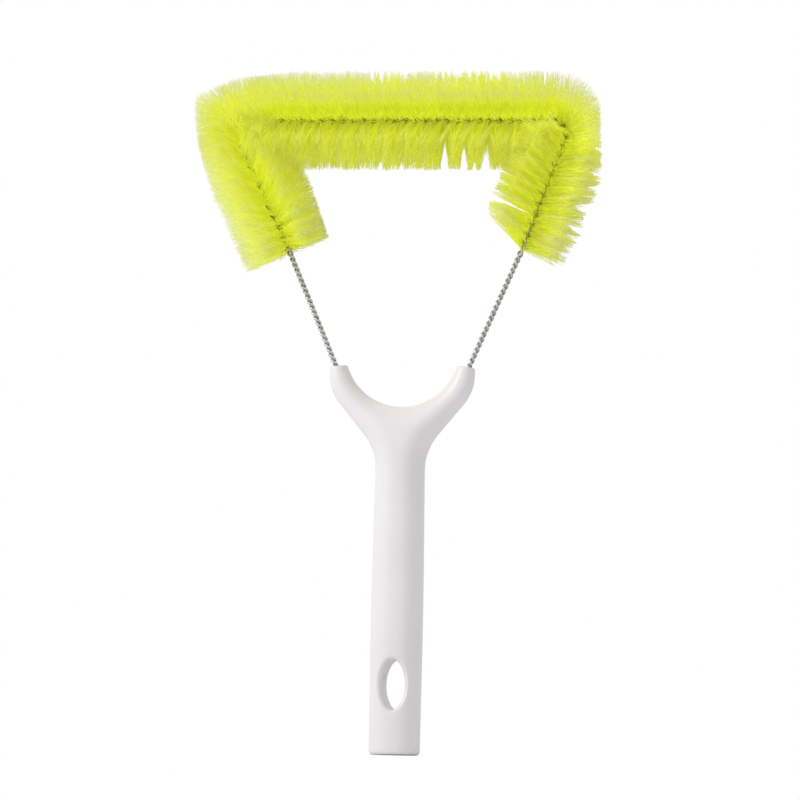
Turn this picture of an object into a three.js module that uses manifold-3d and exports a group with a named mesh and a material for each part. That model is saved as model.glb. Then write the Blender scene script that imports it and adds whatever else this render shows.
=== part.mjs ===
// Window cleaning brush: a forked plastic handle carries a loop of twisted wire, bristled round its far end.
// Sizes are millimetres. +Z runs from the butt to the bristled bar, +X is right and -Y is the front.
// The origin is the middle of the butt's flat end.

import * as THREE from "three";
import { mergeVertices } from "three/addons/utils/BufferGeometryUtils.js";
import Module from "manifold-3d";

const wasm = await Module();
wasm.setup();

// Handle grip, from the butt upwards
const BUTT_WIDTH = 19.4;
const GRIP_WIDTH = 20;
const NECK_WIDTH = 18.6;
const GRIP_DEPTH = 17;
const SWELL_HEIGHT = 55;
const GRIP_LENGTH = 115.5;
const SWELL_REACH = 22;
const BUTT_ROUND = 1.4;

// Fork of the handle
const FORK_SPAN = 56;
const FLARE_RISE = 22.5;
const FLARE_REACH = 7.6;
const ARM_RISE = 8.5;
const SHOULDER_SHARE = 0.8;
const CROTCH_DEPTH = 14.5;
const TIP_WIDTH = 7;
const TIP_DEPTH = 7.8;
const TIP_TILT = THREE.MathUtils.degToRad(8);
const TIP_ROUND = 0.8;

// Oval hang hole through the grip
const HOLE_WIDTH = 9;
const HOLE_LENGTH = 19;
const HOLE_HEIGHT = 26.5;
const HOLE_RIM = 1.6;

// Two steel wires twisted together and bent into a loop
const WIRE_DIAMETER = 1.05;
const WIRE_GAP = 0.15;
const LEG_PITCH = 4.4;
const BRUSH_PITCH = 8.1;
const PITCH_CHANGE = 6;
const LEG_LEAN = THREE.MathUtils.degToRad(23.5);
const BARE_LEG = 50;
const BRISTLED_LEG = 45;
const BEND_RADIUS = 5;
const BAR_OFFSET = 3;
const SOCKET_DEPTH = 14;
const SOCKET_WALL = 0.9;
const SOCKET_CLEARANCE = 0.3;

// Filaments pinched between the wires
const BRUSH_RADIUS = 18.6;
const SIDE_REACH = 12.8;
const PACK_THICKNESS = 0.3;
const PACK_WIDTH = 1.2;
const PACK_CLEARANCE = 0.2;
const STRAND_SPACING = 1.2;
const STRAND_WIDTH = 0.6;
const STRAND_TIP = 0.8;
const SHORTEST_STRAND = 2;
const SEAM_GAP = 0.5;

// Facet counts
const ROUND_STEPS = 3;
const GRIP_ROWS = 6;
const NECK_ROWS = 9;
const ARM_ROWS = 10;
const HALF_COLUMNS = 9;
const OUTLINE_SAMPLES = 2000;
const HOLE_SIDES = 28;
const RIM_STEPS = 3;
const BORE_SIDES = 12;
const WIRE_SIDES = 5;
const STEPS_PER_TURN = 6;
const RIBBON_STEP = THREE.MathUtils.degToRad(30);
const WELD = 1e-4;
const SHARE_ERROR = 1e-6;

// Turns a list of triangles, each of three points, into a closed geometry with shared vertices.
function closedGeometry(triangles) {
  const points = triangles.flat();
  const loose = new THREE.BufferGeometry().setFromPoints(points);
  const merged = mergeVertices(loose, WELD);
  const corners = merged.index.array;
  const kept = [];
  for (let i = 0; i < corners.length; i += 3) {
    const [a, b, c] = corners.slice(i, i + 3);
    if (a !== b && b !== c && c !== a) {
      kept.push(a, b, c);
    }
  }
  merged.setIndex(kept);
  return merged;
}

// Splits a four-cornered face into two triangles along its shorter diagonal.
function quad(a, b, c, d) {
  return a.distanceTo(c) <= b.distanceTo(d) ? [[a, b, c], [a, c, d]] : [[a, b, d], [b, c, d]];
}

// Joins rings of equal count into a tube with closed ends. Seen along the tube, each ring turns clockwise.
function loft(rings) {
  const triangles = [];
  const count = rings[0].length;
  for (let i = 0; i + 1 < rings.length; i++) {
    for (let k = 0; k < count; k++) {
      const next = (k + 1) % count;
      triangles.push(...quad(rings[i][k], rings[i][next], rings[i + 1][next], rings[i + 1][k]));
    }
  }
  const first = rings[0];
  const last = rings[rings.length - 1];
  for (let k = 1; k + 1 < count; k++) {
    triangles.push([first[0], first[k + 1], first[k]]);
    triangles.push([last[0], last[k], last[k + 1]]);
  }
  return closedGeometry(triangles);
}

function toSolid(geometry) {
  return new wasm.Manifold(new wasm.Mesh({
    numProp: 3,
    vertProperties: new Float32Array(geometry.attributes.position.array),
    triVerts: new Uint32Array(geometry.index.array),
  }));
}

function toGeometry(solid) {
  const { vertProperties, triVerts } = solid.getMesh();
  const geometry = new THREE.BufferGeometry();
  geometry.setAttribute("position", new THREE.BufferAttribute(vertProperties, 3));
  geometry.setIndex(new THREE.BufferAttribute(triVerts, 1));
  return geometry;
}

// The wire loop lies in the plane y = 0.
// It is measured by length s from the middle of the bar, positive to the right.
const legRadius = WIRE_DIAMETER / 2 + WIRE_GAP / 2;
const brushRadius = WIRE_DIAMETER / 2 + PACK_CLEARANCE + PACK_THICKNESS / 2;
const boreRadius = legRadius + WIRE_DIAMETER / 2 + SOCKET_CLEARANCE;
const tipHeight = GRIP_LENGTH + FLARE_RISE + ARM_RISE;
const entryX = FORK_SPAN / 2 - SOCKET_WALL - boreRadius;
const entryZ = tipHeight + TIP_ROUND;
const legLength = BARE_LEG + BRISTLED_LEG;
const bendTurn = Math.PI / 2 + LEG_LEAN;
const bendX = entryX + legLength * Math.sin(LEG_LEAN) - BEND_RADIUS * Math.cos(LEG_LEAN);
const bendZ = entryZ + legLength * Math.cos(LEG_LEAN) + BEND_RADIUS * Math.sin(LEG_LEAN);
const bendMiddle = bendX + BEND_RADIUS * bendTurn / 2;
const bendEnd = bendX + BEND_RADIUS * bendTurn;
const bristleEnd = bendEnd + BRISTLED_LEG;
const entryEnd = bendEnd + legLength;
const wireEnd = entryEnd + SOCKET_DEPTH - SOCKET_CLEARANCE;
const barZ = bendZ + BEND_RADIUS;
const bristleZ = entryZ + BARE_LEG * Math.cos(LEG_LEAN);

// Place, direction, outward normal and sideways normal of the loop at length s.
// From the bristles' ends up, both legs bend a little, so the bar sits left of the handle's axis.
function loopFrame(s) {
  const side = Math.sign(s) || 1;
  const length = Math.abs(s);
  const turn = THREE.MathUtils.clamp((length - bendX) / BEND_RADIUS, 0, bendTurn);
  const along = new THREE.Vector3(Math.cos(turn), 0, -side * Math.sin(turn));
  const outward = new THREE.Vector3(side * Math.sin(turn), 0, Math.cos(turn));
  const place = new THREE.Vector3(side * Math.min(length, bendX), 0, bendZ);
  place.addScaledVector(outward, BEND_RADIUS);
  place.addScaledVector(along, side * Math.max(length - bendEnd, 0));
  place.x -= BAR_OFFSET * THREE.MathUtils.clamp((place.z - bristleZ) / (barZ - bristleZ), 0, 1);
  return { place, along, outward, sideways: along.clone().cross(outward) };
}

// Share of the way from the bristled stretch, 0, to the bare leg, 1.
function bareShare(s) {
  return THREE.MathUtils.clamp((Math.abs(s) - bristleEnd) / PITCH_CHANGE, 0, 1);
}

// Twist per millimetre, and its sum from the middle of the bar. The lay is left-handed.
const brushRate = -2 * Math.PI / BRUSH_PITCH;
const legRate = -2 * Math.PI / LEG_PITCH;

function twistRate(s) {
  return THREE.MathUtils.lerp(brushRate, legRate, bareShare(s));
}

function twist(s) {
  const past = Math.max(Math.abs(s) - bristleEnd, 0);
  const share = bareShare(s);
  const gained = (legRate - brushRate) * (past - PITCH_CHANGE * share / 2) * share;
  return s * brushRate + Math.sign(s) * gained;
}

// Direction across the loop at an angle from its outward normal.
function across(frame, angle) {
  const direction = frame.outward.clone().multiplyScalar(Math.cos(angle));
  return direction.addScaledVector(frame.sideways, Math.sin(angle));
}

function circle(frame, centre, radius, sides, start) {
  const ring = [];
  for (let k = 0; k < sides; k++) {
    const angle = start + (2 * Math.PI * k) / sides;
    ring.push(centre.clone().addScaledVector(across(frame, angle), radius));
  }
  return ring;
}

// One wire of the twisted pair, from the bottom of one socket to the bottom of the other.
function wireStrand(phase) {
  const rings = [];
  let s = -wireEnd;
  while (s <= wireEnd) {
    const frame = loopFrame(s);
    const angle = twist(s) + phase;
    const spread = THREE.MathUtils.lerp(brushRadius, legRadius, bareShare(s));
    const centre = frame.place.clone().addScaledVector(across(frame, angle), spread);
    rings.push(circle(frame, centre, WIRE_DIAMETER / 2, WIRE_SIDES, angle));
    const reach = (2 * Math.PI) / STEPS_PER_TURN / Math.abs(twistRate(s));
    s = s < wireEnd ? Math.min(s + reach, wireEnd) : Infinity;
  }
  return loft(rings);
}

// Length of a strand: the brush's radius, or less where it meets the plane that halves a bend
// or the flat trim of the head's left or right side.
function strandLength(place, direction) {
  const trim = bendX + BEND_RADIUS + SIDE_REACH - STRAND_TIP / 2;
  let length = BRUSH_RADIUS;
  for (const side of [-1, 1]) {
    const middle = loopFrame(side * bendMiddle);
    const distance = place.clone().sub(middle.place).dot(middle.along);
    const approach = -Math.sign(distance) * direction.dot(middle.along);
    if (approach > 0) {
      length = Math.min(length, (Math.abs(distance) - SEAM_GAP - STRAND_TIP / 2) / approach);
    }
    const outwards = side * direction.x;
    if (outwards > 0) {
      length = Math.min(length, (trim - side * (place.x + BAR_OFFSET)) / outwards);
    }
  }
  return length;
}

// Section of the filament pack, a flat ribbon that twists with the wires and lies between them.
function packSection(s) {
  const frame = loopFrame(s);
  const out = across(frame, twist(s) + Math.PI / 2);
  const through = across(frame, twist(s));
  const corner = (edge, face) => frame.place.clone()
    .addScaledVector(out, edge * PACK_WIDTH / 2)
    .addScaledVector(through, face * PACK_THICKNESS / 2);
  return { frame, out, through, corner };
}

// The narrow side of the ribbon between two sections.
function packEdge(start, end, edge) {
  return [
    start.corner(edge, edge),
    start.corner(edge, -edge),
    end.corner(edge, -edge),
    end.corner(edge, edge),
  ];
}

// The ribbon's two wide sides between two sections.
function packFaces(start, end) {
  const wideSide = (face) => quad(start.corner(-face, face), start.corner(face, face),
    end.corner(face, face), end.corner(-face, face));
  return [...wideSide(-1), ...wideSide(1)];
}

function packEnd(section, forward) {
  return quad(section.corner(-1, -forward), section.corner(-1, forward),
    section.corner(1, forward), section.corner(1, -forward));
}

// A four-sided strand that stands on the ribbon's narrow side and widens like a tuft to its tip.
function strand(start, end, edge, middle, length) {
  const triangles = [];
  const root = packEdge(start, end, edge);
  const half = THREE.MathUtils.lerp(STRAND_WIDTH, STRAND_TIP, length / BRUSH_RADIUS) / 2;
  const tipCentre = middle.frame.place.clone().addScaledVector(middle.out, edge * length);
  const tipCorner = (forward, face) => tipCentre.clone()
    .addScaledVector(middle.frame.along, forward * half)
    .addScaledVector(middle.through, face * half);
  const tip = [tipCorner(-1, edge), tipCorner(-1, -edge), tipCorner(1, -edge), tipCorner(1, edge)];
  for (let k = 0; k < root.length; k++) {
    const next = (k + 1) % root.length;
    triangles.push(...quad(root[k], root[next], tip[next], tip[k]));
  }
  triangles.push(...quad(...tip));
  return triangles;
}

// A stretch of the filament pack with a pair of strands, one on each narrow side, at every spacing.
function bristles(from, to) {
  const count = Math.round((to - from) / STRAND_SPACING);
  const spacing = (to - from) / count;
  const bareSteps = Math.ceil((spacing - STRAND_WIDTH) * Math.abs(brushRate) / RIBBON_STEP);
  const triangles = [];

  function bareRibbon(start, end) {
    let section = packSection(start);
    for (let i = 1; i <= bareSteps; i++) {
      const next = packSection(THREE.MathUtils.lerp(start, end, i / bareSteps));
      triangles.push(...packFaces(section, next));
      triangles.push(...quad(...packEdge(section, next, -1)));
      triangles.push(...quad(...packEdge(section, next, 1)));
      section = next;
    }
  }

  let reached = from;
  triangles.push(...packEnd(packSection(from), -1));
  for (let i = 0; i < count; i++) {
    const s = from + (i + 0.5) * spacing;
    const middle = packSection(s);
    const start = packSection(s - STRAND_WIDTH / 2);
    const end = packSection(s + STRAND_WIDTH / 2);
    bareRibbon(reached, s - STRAND_WIDTH / 2);
    triangles.push(...packFaces(start, end));
    for (const edge of [-1, 1]) {
      const length = strandLength(middle.frame.place, middle.out.clone().multiplyScalar(edge));
      if (length > SHORTEST_STRAND) {
        triangles.push(...strand(start, end, edge, middle, length));
      } else {
        triangles.push(...quad(...packEdge(start, end, edge)));
      }
    }
    reached = s + STRAND_WIDTH / 2;
  }
  bareRibbon(reached, to);
  triangles.push(...packEnd(packSection(to), 1));
  return closedGeometry(triangles);
}

// Outline of the handle's right side in the XZ plane, a line of corners rounded by arcs.
// The reach of a corner is the length that its arc takes from the line on either side.
const tipDrop = Math.tan(TIP_TILT) * TIP_WIDTH / 2;
const outerTip = new THREE.Vector2(FORK_SPAN / 2, tipHeight - tipDrop);
const innerTip = new THREE.Vector2(FORK_SPAN / 2 - TIP_WIDTH, tipHeight + tipDrop);

function roundedPath(corners) {
  const path = new THREE.Path();
  path.moveTo(corners[0].at.x, corners[0].at.y);
  for (let i = 1; i + 1 < corners.length; i++) {
    const { at, reach } = corners[i];
    const back = corners[i - 1].at.clone().sub(at).normalize();
    const ahead = corners[i + 1].at.clone().sub(at).normalize();
    const half = back.angleTo(ahead) / 2;
    const inward = back.clone().add(ahead).normalize();
    const centre = at.clone().addScaledVector(inward, reach / Math.cos(half));
    const enter = at.clone().addScaledVector(back, reach);
    const leave = at.clone().addScaledVector(ahead, reach);
    path.lineTo(enter.x, enter.y);
    const clockwise = back.cross(ahead) > 0;
    const from = enter.sub(centre).angle();
    const to = leave.sub(centre).angle();
    path.absarc(centre.x, centre.y, reach * Math.tan(half), from, to, clockwise);
  }
  const end = corners[corners.length - 1].at;
  path.lineTo(end.x, end.y);
  return path;
}

const shoulder = new THREE.Vector2(FORK_SPAN / 2, GRIP_LENGTH + FLARE_RISE);
const outline = roundedPath([
  { at: new THREE.Vector2(BUTT_WIDTH / 2, 0) },
  { at: new THREE.Vector2(GRIP_WIDTH / 2, SWELL_HEIGHT), reach: SWELL_REACH },
  { at: new THREE.Vector2(NECK_WIDTH / 2, GRIP_LENGTH), reach: FLARE_REACH },
  { at: shoulder, reach: SHOULDER_SHARE * shoulder.distanceTo(outerTip) },
  { at: outerTip },
]);
const outlinePoints = outline.getSpacedPoints(OUTLINE_SAMPLES);

function distanceToOutline(point) {
  return Math.min(...outlinePoints.map((place) => place.distanceTo(point)));
}

// Share of the outline's length at which it reaches a height.
function outlineShare(height) {
  let low = 0;
  let high = 1;
  while (high - low > SHARE_ERROR) {
    const middle = (low + high) / 2;
    if (outline.getPointAt(middle).y < height) {
      low = middle;
    } else {
      high = middle;
    }
  }
  return high;
}

// The crotch of the fork is an arc through its lowest point and the inner edges of both tips.
const crotchHeight = tipHeight - CROTCH_DEPTH;
const crotchRise = innerTip.y - crotchHeight;
const crotchRadius = (innerTip.x ** 2 + crotchRise ** 2) / (2 * crotchRise);
const crotchCentre = new THREE.Vector2(0, crotchHeight + crotchRadius);
const crotchSweep = Math.atan2(innerTip.x, crotchCentre.y - innerTip.y);

// Half the depth of the moulding: an oval section that rolls off towards the outline and the crotch.
const rollWidth = NECK_WIDTH / 2;

function rollOff(distance) {
  return Math.sqrt(1 - (1 - THREE.MathUtils.clamp(distance / rollWidth, 0, 1)) ** 2);
}

function halfDepth(point) {
  const tipBody = TIP_DEPTH / 2 / rollOff(TIP_WIDTH / 2) ** 2;
  const share = THREE.MathUtils.smoothstep(point.y, GRIP_LENGTH, tipHeight);
  const body = THREE.MathUtils.lerp(GRIP_DEPTH / 2, tipBody, share);
  const fromCrotch = point.distanceTo(crotchCentre) - crotchRadius;
  return body * rollOff(distanceToOutline(point)) * rollOff(fromCrotch);
}

// One row of points across the right half of the handle, from its inner to its outer edge.
// The crowding is 0 where the inner edge is the handle's axis and 1 where it is the edge of an arm.
// A row drawn in by an inset shrinks towards the pivot, a share of its width, and rises by its lift.
function handleRow({ inner, outer, crowding, inset = 0, pivot = 0, lift = 0 }) {
  const span = outer.clone().sub(inner);
  const rise = new THREE.Vector2(-span.y, span.x).setLength(lift);
  const reach = span.length() * (1 - pivot);
  const row = [];
  for (let j = 0; j <= HALF_COLUMNS; j++) {
    const oneSided = Math.sin(Math.PI / 2 * j / HALF_COLUMNS);
    const twoSided = (1 - Math.cos(Math.PI * j / HALF_COLUMNS)) / 2;
    const share = THREE.MathUtils.lerp(oneSided, twoSided, crowding);
    const onEdge = j === HALF_COLUMNS || (j === 0 && crowding === 1);
    const drawn = pivot + (share - pivot) * (1 - inset / reach);
    const full = inner.clone().addScaledVector(span, share);
    const place = inner.clone().addScaledVector(span, drawn).add(rise);
    row.push({ place, depth: onEdge ? 0 : halfDepth(full) });
  }
  const deepest = Math.max(...row.map((spot) => spot.depth));
  for (const spot of row) {
    spot.depth *= 1 - inset / deepest;
  }
  return row;
}

// Rows of the handle's right half, from the rounded butt through the neck and along the arm to its tip.
function handleRows() {
  const rows = [];
  const level = (height, inset) => handleRow({
    inner: new THREE.Vector2(0, height),
    outer: outline.getPointAt(outlineShare(height)),
    crowding: 0,
    inset,
  });
  for (let i = 0; i < ROUND_STEPS; i++) {
    const turn = Math.PI / 2 * i / ROUND_STEPS;
    rows.push(level(BUTT_ROUND * (1 - Math.cos(turn)), BUTT_ROUND * (1 - Math.sin(turn))));
  }
  const neckStart = GRIP_LENGTH - FLARE_REACH;
  for (let i = 0; i < GRIP_ROWS; i++) {
    rows.push(level(THREE.MathUtils.lerp(BUTT_ROUND, neckStart, i / GRIP_ROWS), 0));
  }
  const crotch = new THREE.Vector2(0, crotchHeight);
  const foot = outlinePoints.reduce((a, b) => (a.distanceTo(crotch) < b.distanceTo(crotch) ? a : b));
  const neckShare = outlineShare(neckStart);
  const footShare = outlineShare(foot.y);
  for (let i = 0; i < NECK_ROWS; i++) {
    const part = i / NECK_ROWS;
    const height = THREE.MathUtils.lerp(neckStart, crotchHeight, Math.sin(Math.PI / 2 * part));
    rows.push(handleRow({
      inner: new THREE.Vector2(0, height),
      outer: outline.getPointAt(THREE.MathUtils.lerp(neckShare, footShare, part)),
      crowding: part ** 2,
    }));
  }
  const armRow = (part, extra) => {
    const sweep = crotchSweep * part;
    const inner = new THREE.Vector2(Math.sin(sweep), -Math.cos(sweep)).multiplyScalar(crotchRadius);
    return handleRow({
      inner: inner.add(crotchCentre),
      outer: outline.getPointAt(THREE.MathUtils.lerp(footShare, 1, part)),
      crowding: 1,
      ...extra,
    });
  };
  for (let i = 0; i <= ARM_ROWS; i++) {
    rows.push(armRow(i / ARM_ROWS, {}));
  }
  for (let i = 1; i <= ROUND_STEPS; i++) {
    const turn = Math.PI / 2 * i / ROUND_STEPS;
    rows.push(armRow(1, {
      pivot: 0.5,
      inset: TIP_ROUND * (1 - Math.cos(turn)),
      lift: TIP_ROUND * Math.sin(turn),
    }));
  }
  return rows;
}

// The moulding before it is pierced: the rows as a front and a back skin, mirrored to the left.
function handleBody() {
  const rows = handleRows();
  const triangles = [];
  for (const side of [-1, 1]) {
    const skin = (row, j, face) => {
      const { place, depth } = rows[row][j];
      return new THREE.Vector3(side * place.x, face * depth, place.y);
    };
    const addFace = (...corners) => {
      const facing = side > 0 ? corners : corners.reverse();
      triangles.push(...quad(...facing));
    };
    const last = rows.length - 1;
    for (let j = 0; j < HALF_COLUMNS; j++) {
      for (let i = 0; i < last; i++) {
        addFace(skin(i, j, -1), skin(i, j + 1, -1), skin(i + 1, j + 1, -1), skin(i + 1, j, -1));
        addFace(skin(i, j, 1), skin(i + 1, j, 1), skin(i + 1, j + 1, 1), skin(i, j + 1, 1));
      }
      addFace(skin(0, j, -1), skin(0, j, 1), skin(0, j + 1, 1), skin(0, j + 1, -1));
      addFace(skin(last, j, -1), skin(last, j + 1, -1), skin(last, j + 1, 1), skin(last, j, 1));
    }
  }
  return closedGeometry(triangles);
}

// Blind socket in an arm tip, along the wire leg that it takes.
function socketBore(side) {
  const ends = side > 0 ? [entryEnd - boreRadius, entryEnd + SOCKET_DEPTH]
    : [-entryEnd - SOCKET_DEPTH, boreRadius - entryEnd];
  return loft(ends.map((s) => {
    const frame = loopFrame(s);
    return circle(frame, frame.place, boreRadius, BORE_SIDES, 0);
  }));
}

// Hang hole through the grip from front to back. Its rounded rims follow the grip's oval surface.
function hangHole() {
  const oval = (angle, flare) => new THREE.Vector2(
    (HOLE_WIDTH / 2 + flare) * Math.sin(angle),
    (HOLE_LENGTH / 2 + flare) * Math.cos(angle) + HOLE_HEIGHT,
  );
  const rimDepths = [];
  for (let k = 0; k < HOLE_SIDES; k++) {
    const rim = oval((2 * Math.PI * k) / HOLE_SIDES, HOLE_RIM);
    rimDepths.push(halfDepth(rim.setX(Math.abs(rim.x))));
  }
  const ringAt = (face, flare, depth) => rimDepths.map((rimDepth, k) => {
    const spot = oval((2 * Math.PI * k) / HOLE_SIDES, flare);
    return new THREE.Vector3(spot.x, face * depth(rimDepth), spot.y);
  });
  const side = (face) => {
    const rings = [];
    for (let i = 0; i <= RIM_STEPS; i++) {
      const turn = Math.PI / 2 * i / RIM_STEPS;
      const drop = HOLE_RIM * (1 - Math.sin(turn));
      rings.push(ringAt(face, HOLE_RIM * (1 - Math.cos(turn)), (rimDepth) => rimDepth - drop));
    }
    rings.push(ringAt(face, HOLE_RIM, () => GRIP_DEPTH));
    return rings;
  };
  return loft([...side(-1).reverse(), ...side(1)]);
}

function handle() {
  let body = toSolid(handleBody());
  for (const cutter of [socketBore(-1), socketBore(1), hangHole()]) {
    body = body.subtract(toSolid(cutter));
  }
  return toGeometry(body);
}

// Materials
const whitePlastic = { color: "#e9e7e7", roughness: 0.42, metalness: 0 };
const steel = { color: "#a7a7a1", roughness: 0.32, metalness: 1 };
const limeFilament = { color: "#cfe02c", roughness: 0.5, metalness: 0 };

const brush = new THREE.Group();

function addPart(name, geometry, look) {
  geometry.computeVertexNormals();
  const mesh = new THREE.Mesh(geometry, new THREE.MeshStandardMaterial(look));
  mesh.name = name;
  brush.add(mesh);
}

addPart("handle", handle(), whitePlastic);
addPart("wire_strand_a", wireStrand(0), steel);
addPart("wire_strand_b", wireStrand(Math.PI), steel);
addPart("left_bristles", bristles(-bristleEnd, -bendMiddle - SEAM_GAP / 2), limeFilament);
addPart("top_bristles", bristles(-bendMiddle + SEAM_GAP / 2, bendMiddle - SEAM_GAP / 2), limeFilament);
addPart("right_bristles", bristles(bendMiddle + SEAM_GAP / 2, bristleEnd), limeFilament);

export default brush;
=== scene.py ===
"""Window cleaning brush: white forked handle, loop of twisted wire and lime filaments."""

from collections import namedtuple
from math import acos, atan, atan2, ceil, cos, pi, radians, sin, tan
from types import SimpleNamespace

import bmesh
import bpy
import numpy as np
from mathutils import Matrix, Vector


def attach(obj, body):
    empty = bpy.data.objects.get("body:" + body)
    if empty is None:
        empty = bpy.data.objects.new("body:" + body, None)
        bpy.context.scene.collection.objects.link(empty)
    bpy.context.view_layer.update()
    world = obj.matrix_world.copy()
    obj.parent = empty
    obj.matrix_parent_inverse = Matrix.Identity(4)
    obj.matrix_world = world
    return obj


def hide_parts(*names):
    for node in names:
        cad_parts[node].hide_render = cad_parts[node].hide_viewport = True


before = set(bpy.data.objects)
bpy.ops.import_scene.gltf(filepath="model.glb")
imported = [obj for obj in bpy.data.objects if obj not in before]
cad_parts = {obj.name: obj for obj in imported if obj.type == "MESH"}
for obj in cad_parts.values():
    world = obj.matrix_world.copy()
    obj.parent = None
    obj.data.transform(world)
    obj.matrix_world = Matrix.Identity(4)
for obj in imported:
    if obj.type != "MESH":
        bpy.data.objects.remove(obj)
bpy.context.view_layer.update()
scene = bpy.context.scene

MM = 0.001
TINY = 1e-6

# Handle, in millimetres, as in the solids
BUTT_WIDTH = 19.4
GRIP_WIDTH = 20.0
NECK_WIDTH = 18.6
GRIP_DEPTH = 17.0
SWELL_HEIGHT = 55.0
SWELL_REACH = 22.0
GRIP_LENGTH = 115.5
BUTT_ROUND = 1.4
FORK_SPAN = 56.0
FLARE_RISE = 22.5
FLARE_REACH = 7.6
ARM_RISE = 8.5
SHOULDER_SHARE = 0.8
CROTCH_DEPTH = 14.5
TIP_WIDTH = 7.0
TIP_DEPTH = 7.8
TIP_TILT = radians(8)
TIP_ROUND = 0.8
HOLE_SIZE = np.array([9.0, 19.0])
HOLE_HEIGHT = 26.5
HOLE_RIM = 1.6

# Handle's mesh: distances in metres within which points are welded and slivers dissolved, angle kept sharp
WELD = 2e-6
SLIVER = 1e-6
SHARP_ANGLE = radians(42)

# Twisted wire loop, in millimetres, as in the solids
WIRE_DIAMETER = 1.05
WIRE_GAP = 0.15
LEG_PITCH = 4.4
BRUSH_PITCH = 8.1
PITCH_CHANGE = 6.0
LEG_LEAN = radians(23.5)
BARE_LEG = 50.0
BRISTLED_LEG = 45.0
BEND_RADIUS = 5.0
BAR_OFFSET = 3.0
SOCKET_DEPTH = 14.0
SOCKET_WALL = 0.9
SOCKET_CLEARANCE = 0.3

# Filament ribbon between the wires
BRUSH_RADIUS = 18.6
PACK_THICKNESS = 0.3
PACK_CLEARANCE = 0.2
RIBBON_REACH = 1.5

# Filaments: size, rings as shares of the length with their girth, and crowding
FILAMENT_RADIUS = 0.085
FILAMENT_SIDES = 3
FILAMENT_ROOT = 0.45
FILAMENT_STEPS = (0.0, 0.28, 0.64, 1.0)
FILAMENT_GIRTH = (1.0, 1.0, 0.95, 0.8)
SOFT_GIRTH = (1.0, 1.0, 0.8, 0.4)
FILAMENTS_PER_MM = 190
LEFT_CROWDING = 1.45
BEND_CROWDING = 1.7
LEAST_CROWDING = 0.15
THIN_END = 8.0
THIN_SHARE = 0.35

# Way of the filaments: swing round the loop, lean along it, wandering locks and bow.
# Cells are a length along the loop and a number of sectors round it.
SWING = radians(40)
SIDE_SWING = 0.7
ROOT_SWING = 0.35
OPENING = radians(21)
OPENING_WIDTH = radians(26)
FAN = 1.5 * BRUSH_PITCH / 4
LEAST_FAN = 0.3
WANDER = 0.4
WANDER_CELLS = (2.6, 14)
LOCK = 0.2
LOCK_CELLS = (0.9, 36)
MOST_TILT = 0.8
ROOT_TILT = 0.55
SWEEP = 1.2
BOW = 0.4
ROOT_SHIFT = 0.5

# Tufts, two to each turn of the twist, and the uneven ends of hard and soft filaments
TUFT_SPACING = BRUSH_PITCH / 2
TUFT_SEED = 5
TUFT_JITTER = 0.06
SPARE_TUFTS = 8
LEAST_PULL = 0.7
TUFT_GROWTH = 0.5
DRAW_POWER = 1.5
NOTCH_LENGTH = 0.75
NOTCH_EDGE = 0.35
LENGTH_SPREAD = 0.25
SHORT_SHARE = 0.4
SHORT_SPREAD = 0.9
SHORTNESS = (0.4, 0.85)
FIELD_MARGIN = 12

# Stripes along the loop, painted light and shade in bands across the tufts: height and crest of a wave of
# one pitch and of a wave of half a pitch
FIRST_PARTING = 17.95
STRIPE_ROOT = 0.35
LIGHT_STRIPES = ((0.02, 0.25), (0.11, 0.48))
PALE_STRIPES = ((0.7, 0.05), (1.4, 0.42))

# Painted light and shade of hard and soft filaments, with some random tone: the texture's u
SHADE_RISE = (-0.1, -0.25, 0.14, 0.5)
SHADE_LIMITS = (0.01, 0.98)
STREAK_CELLS = (0.45, 8)
STREAK_LIGHT = 0.13
LIGHT_SPREAD = (0.065, 0.03)
FRONT_LIGHT_SPREAD = 0.07
FRONT_WIDTH = radians(40)
WASHED_LIGHT = 0.05
STRIP_WIDTH = 0.006

# Grade of the filaments, the texture's v: from the root's painted shade, a dark lime, to the tip's pale
# lime
GRADE_LIMITS = (0.005, 0.995)
ROOT_GRADES = (-0.03, 0.05)
HARD_GRADE = 0.41
TIP_GRADES = (0.76, 0.98)
MOST_GRADES = (0.84, 0.99)
PALER_STEP = 0.17
DEEPER_STEP = 0.08
# The ribbon and the flecks carry painted shade near the core; a fleck keeps the root's dark further out
# along its filament
RIBBON_GRADE = 0.05
FLECK_GRADE = 0.07
FLECK_SHARE = 0.14
FRONT_FLECKS = 1.6

# Filaments that are pale almost to the root: outside the bends, on the left leg and near the legs' ends
WASHED_POWER = 0.35
WASHED_LEFT = 0.65
WASHED_LEFT_END = 0.3
WASHED_RIGHT_END = 0.6
WASHED_INSIDE = 0.6
WASHED_GROWS = (-20, -3)

# Bar: smooth above, tufted below and more so to the right, with two ragged runs along the top edge.
# Pairs are behind and in front, outside and in a run, below and above.
SMOOTH_GATHER = 0.06
BAR_GATHER = (0.04, 0.62)
LEFT_GATHER_SHARE = 0.6
GATHER_GROWS = (-45, 10)
RAGGED_RUNS = ((-8.0, 4.5), (16.0, 44.0))
BAR_RAGGED = (0.4, 1.8)
RUN_HARDNESS = 0.5
BAR_GROWTH = 0.3
CORNER_GROWTH = 2.0
CORNER_LENGTH = 8
BAR_LIGHT = (0.53, 0.63)
LOW_FRONT_SHADE = 0.14
LOW_FRONT_GROWS = (-55, -30)
BAR_RISE = (0.45, -0.2)

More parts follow.
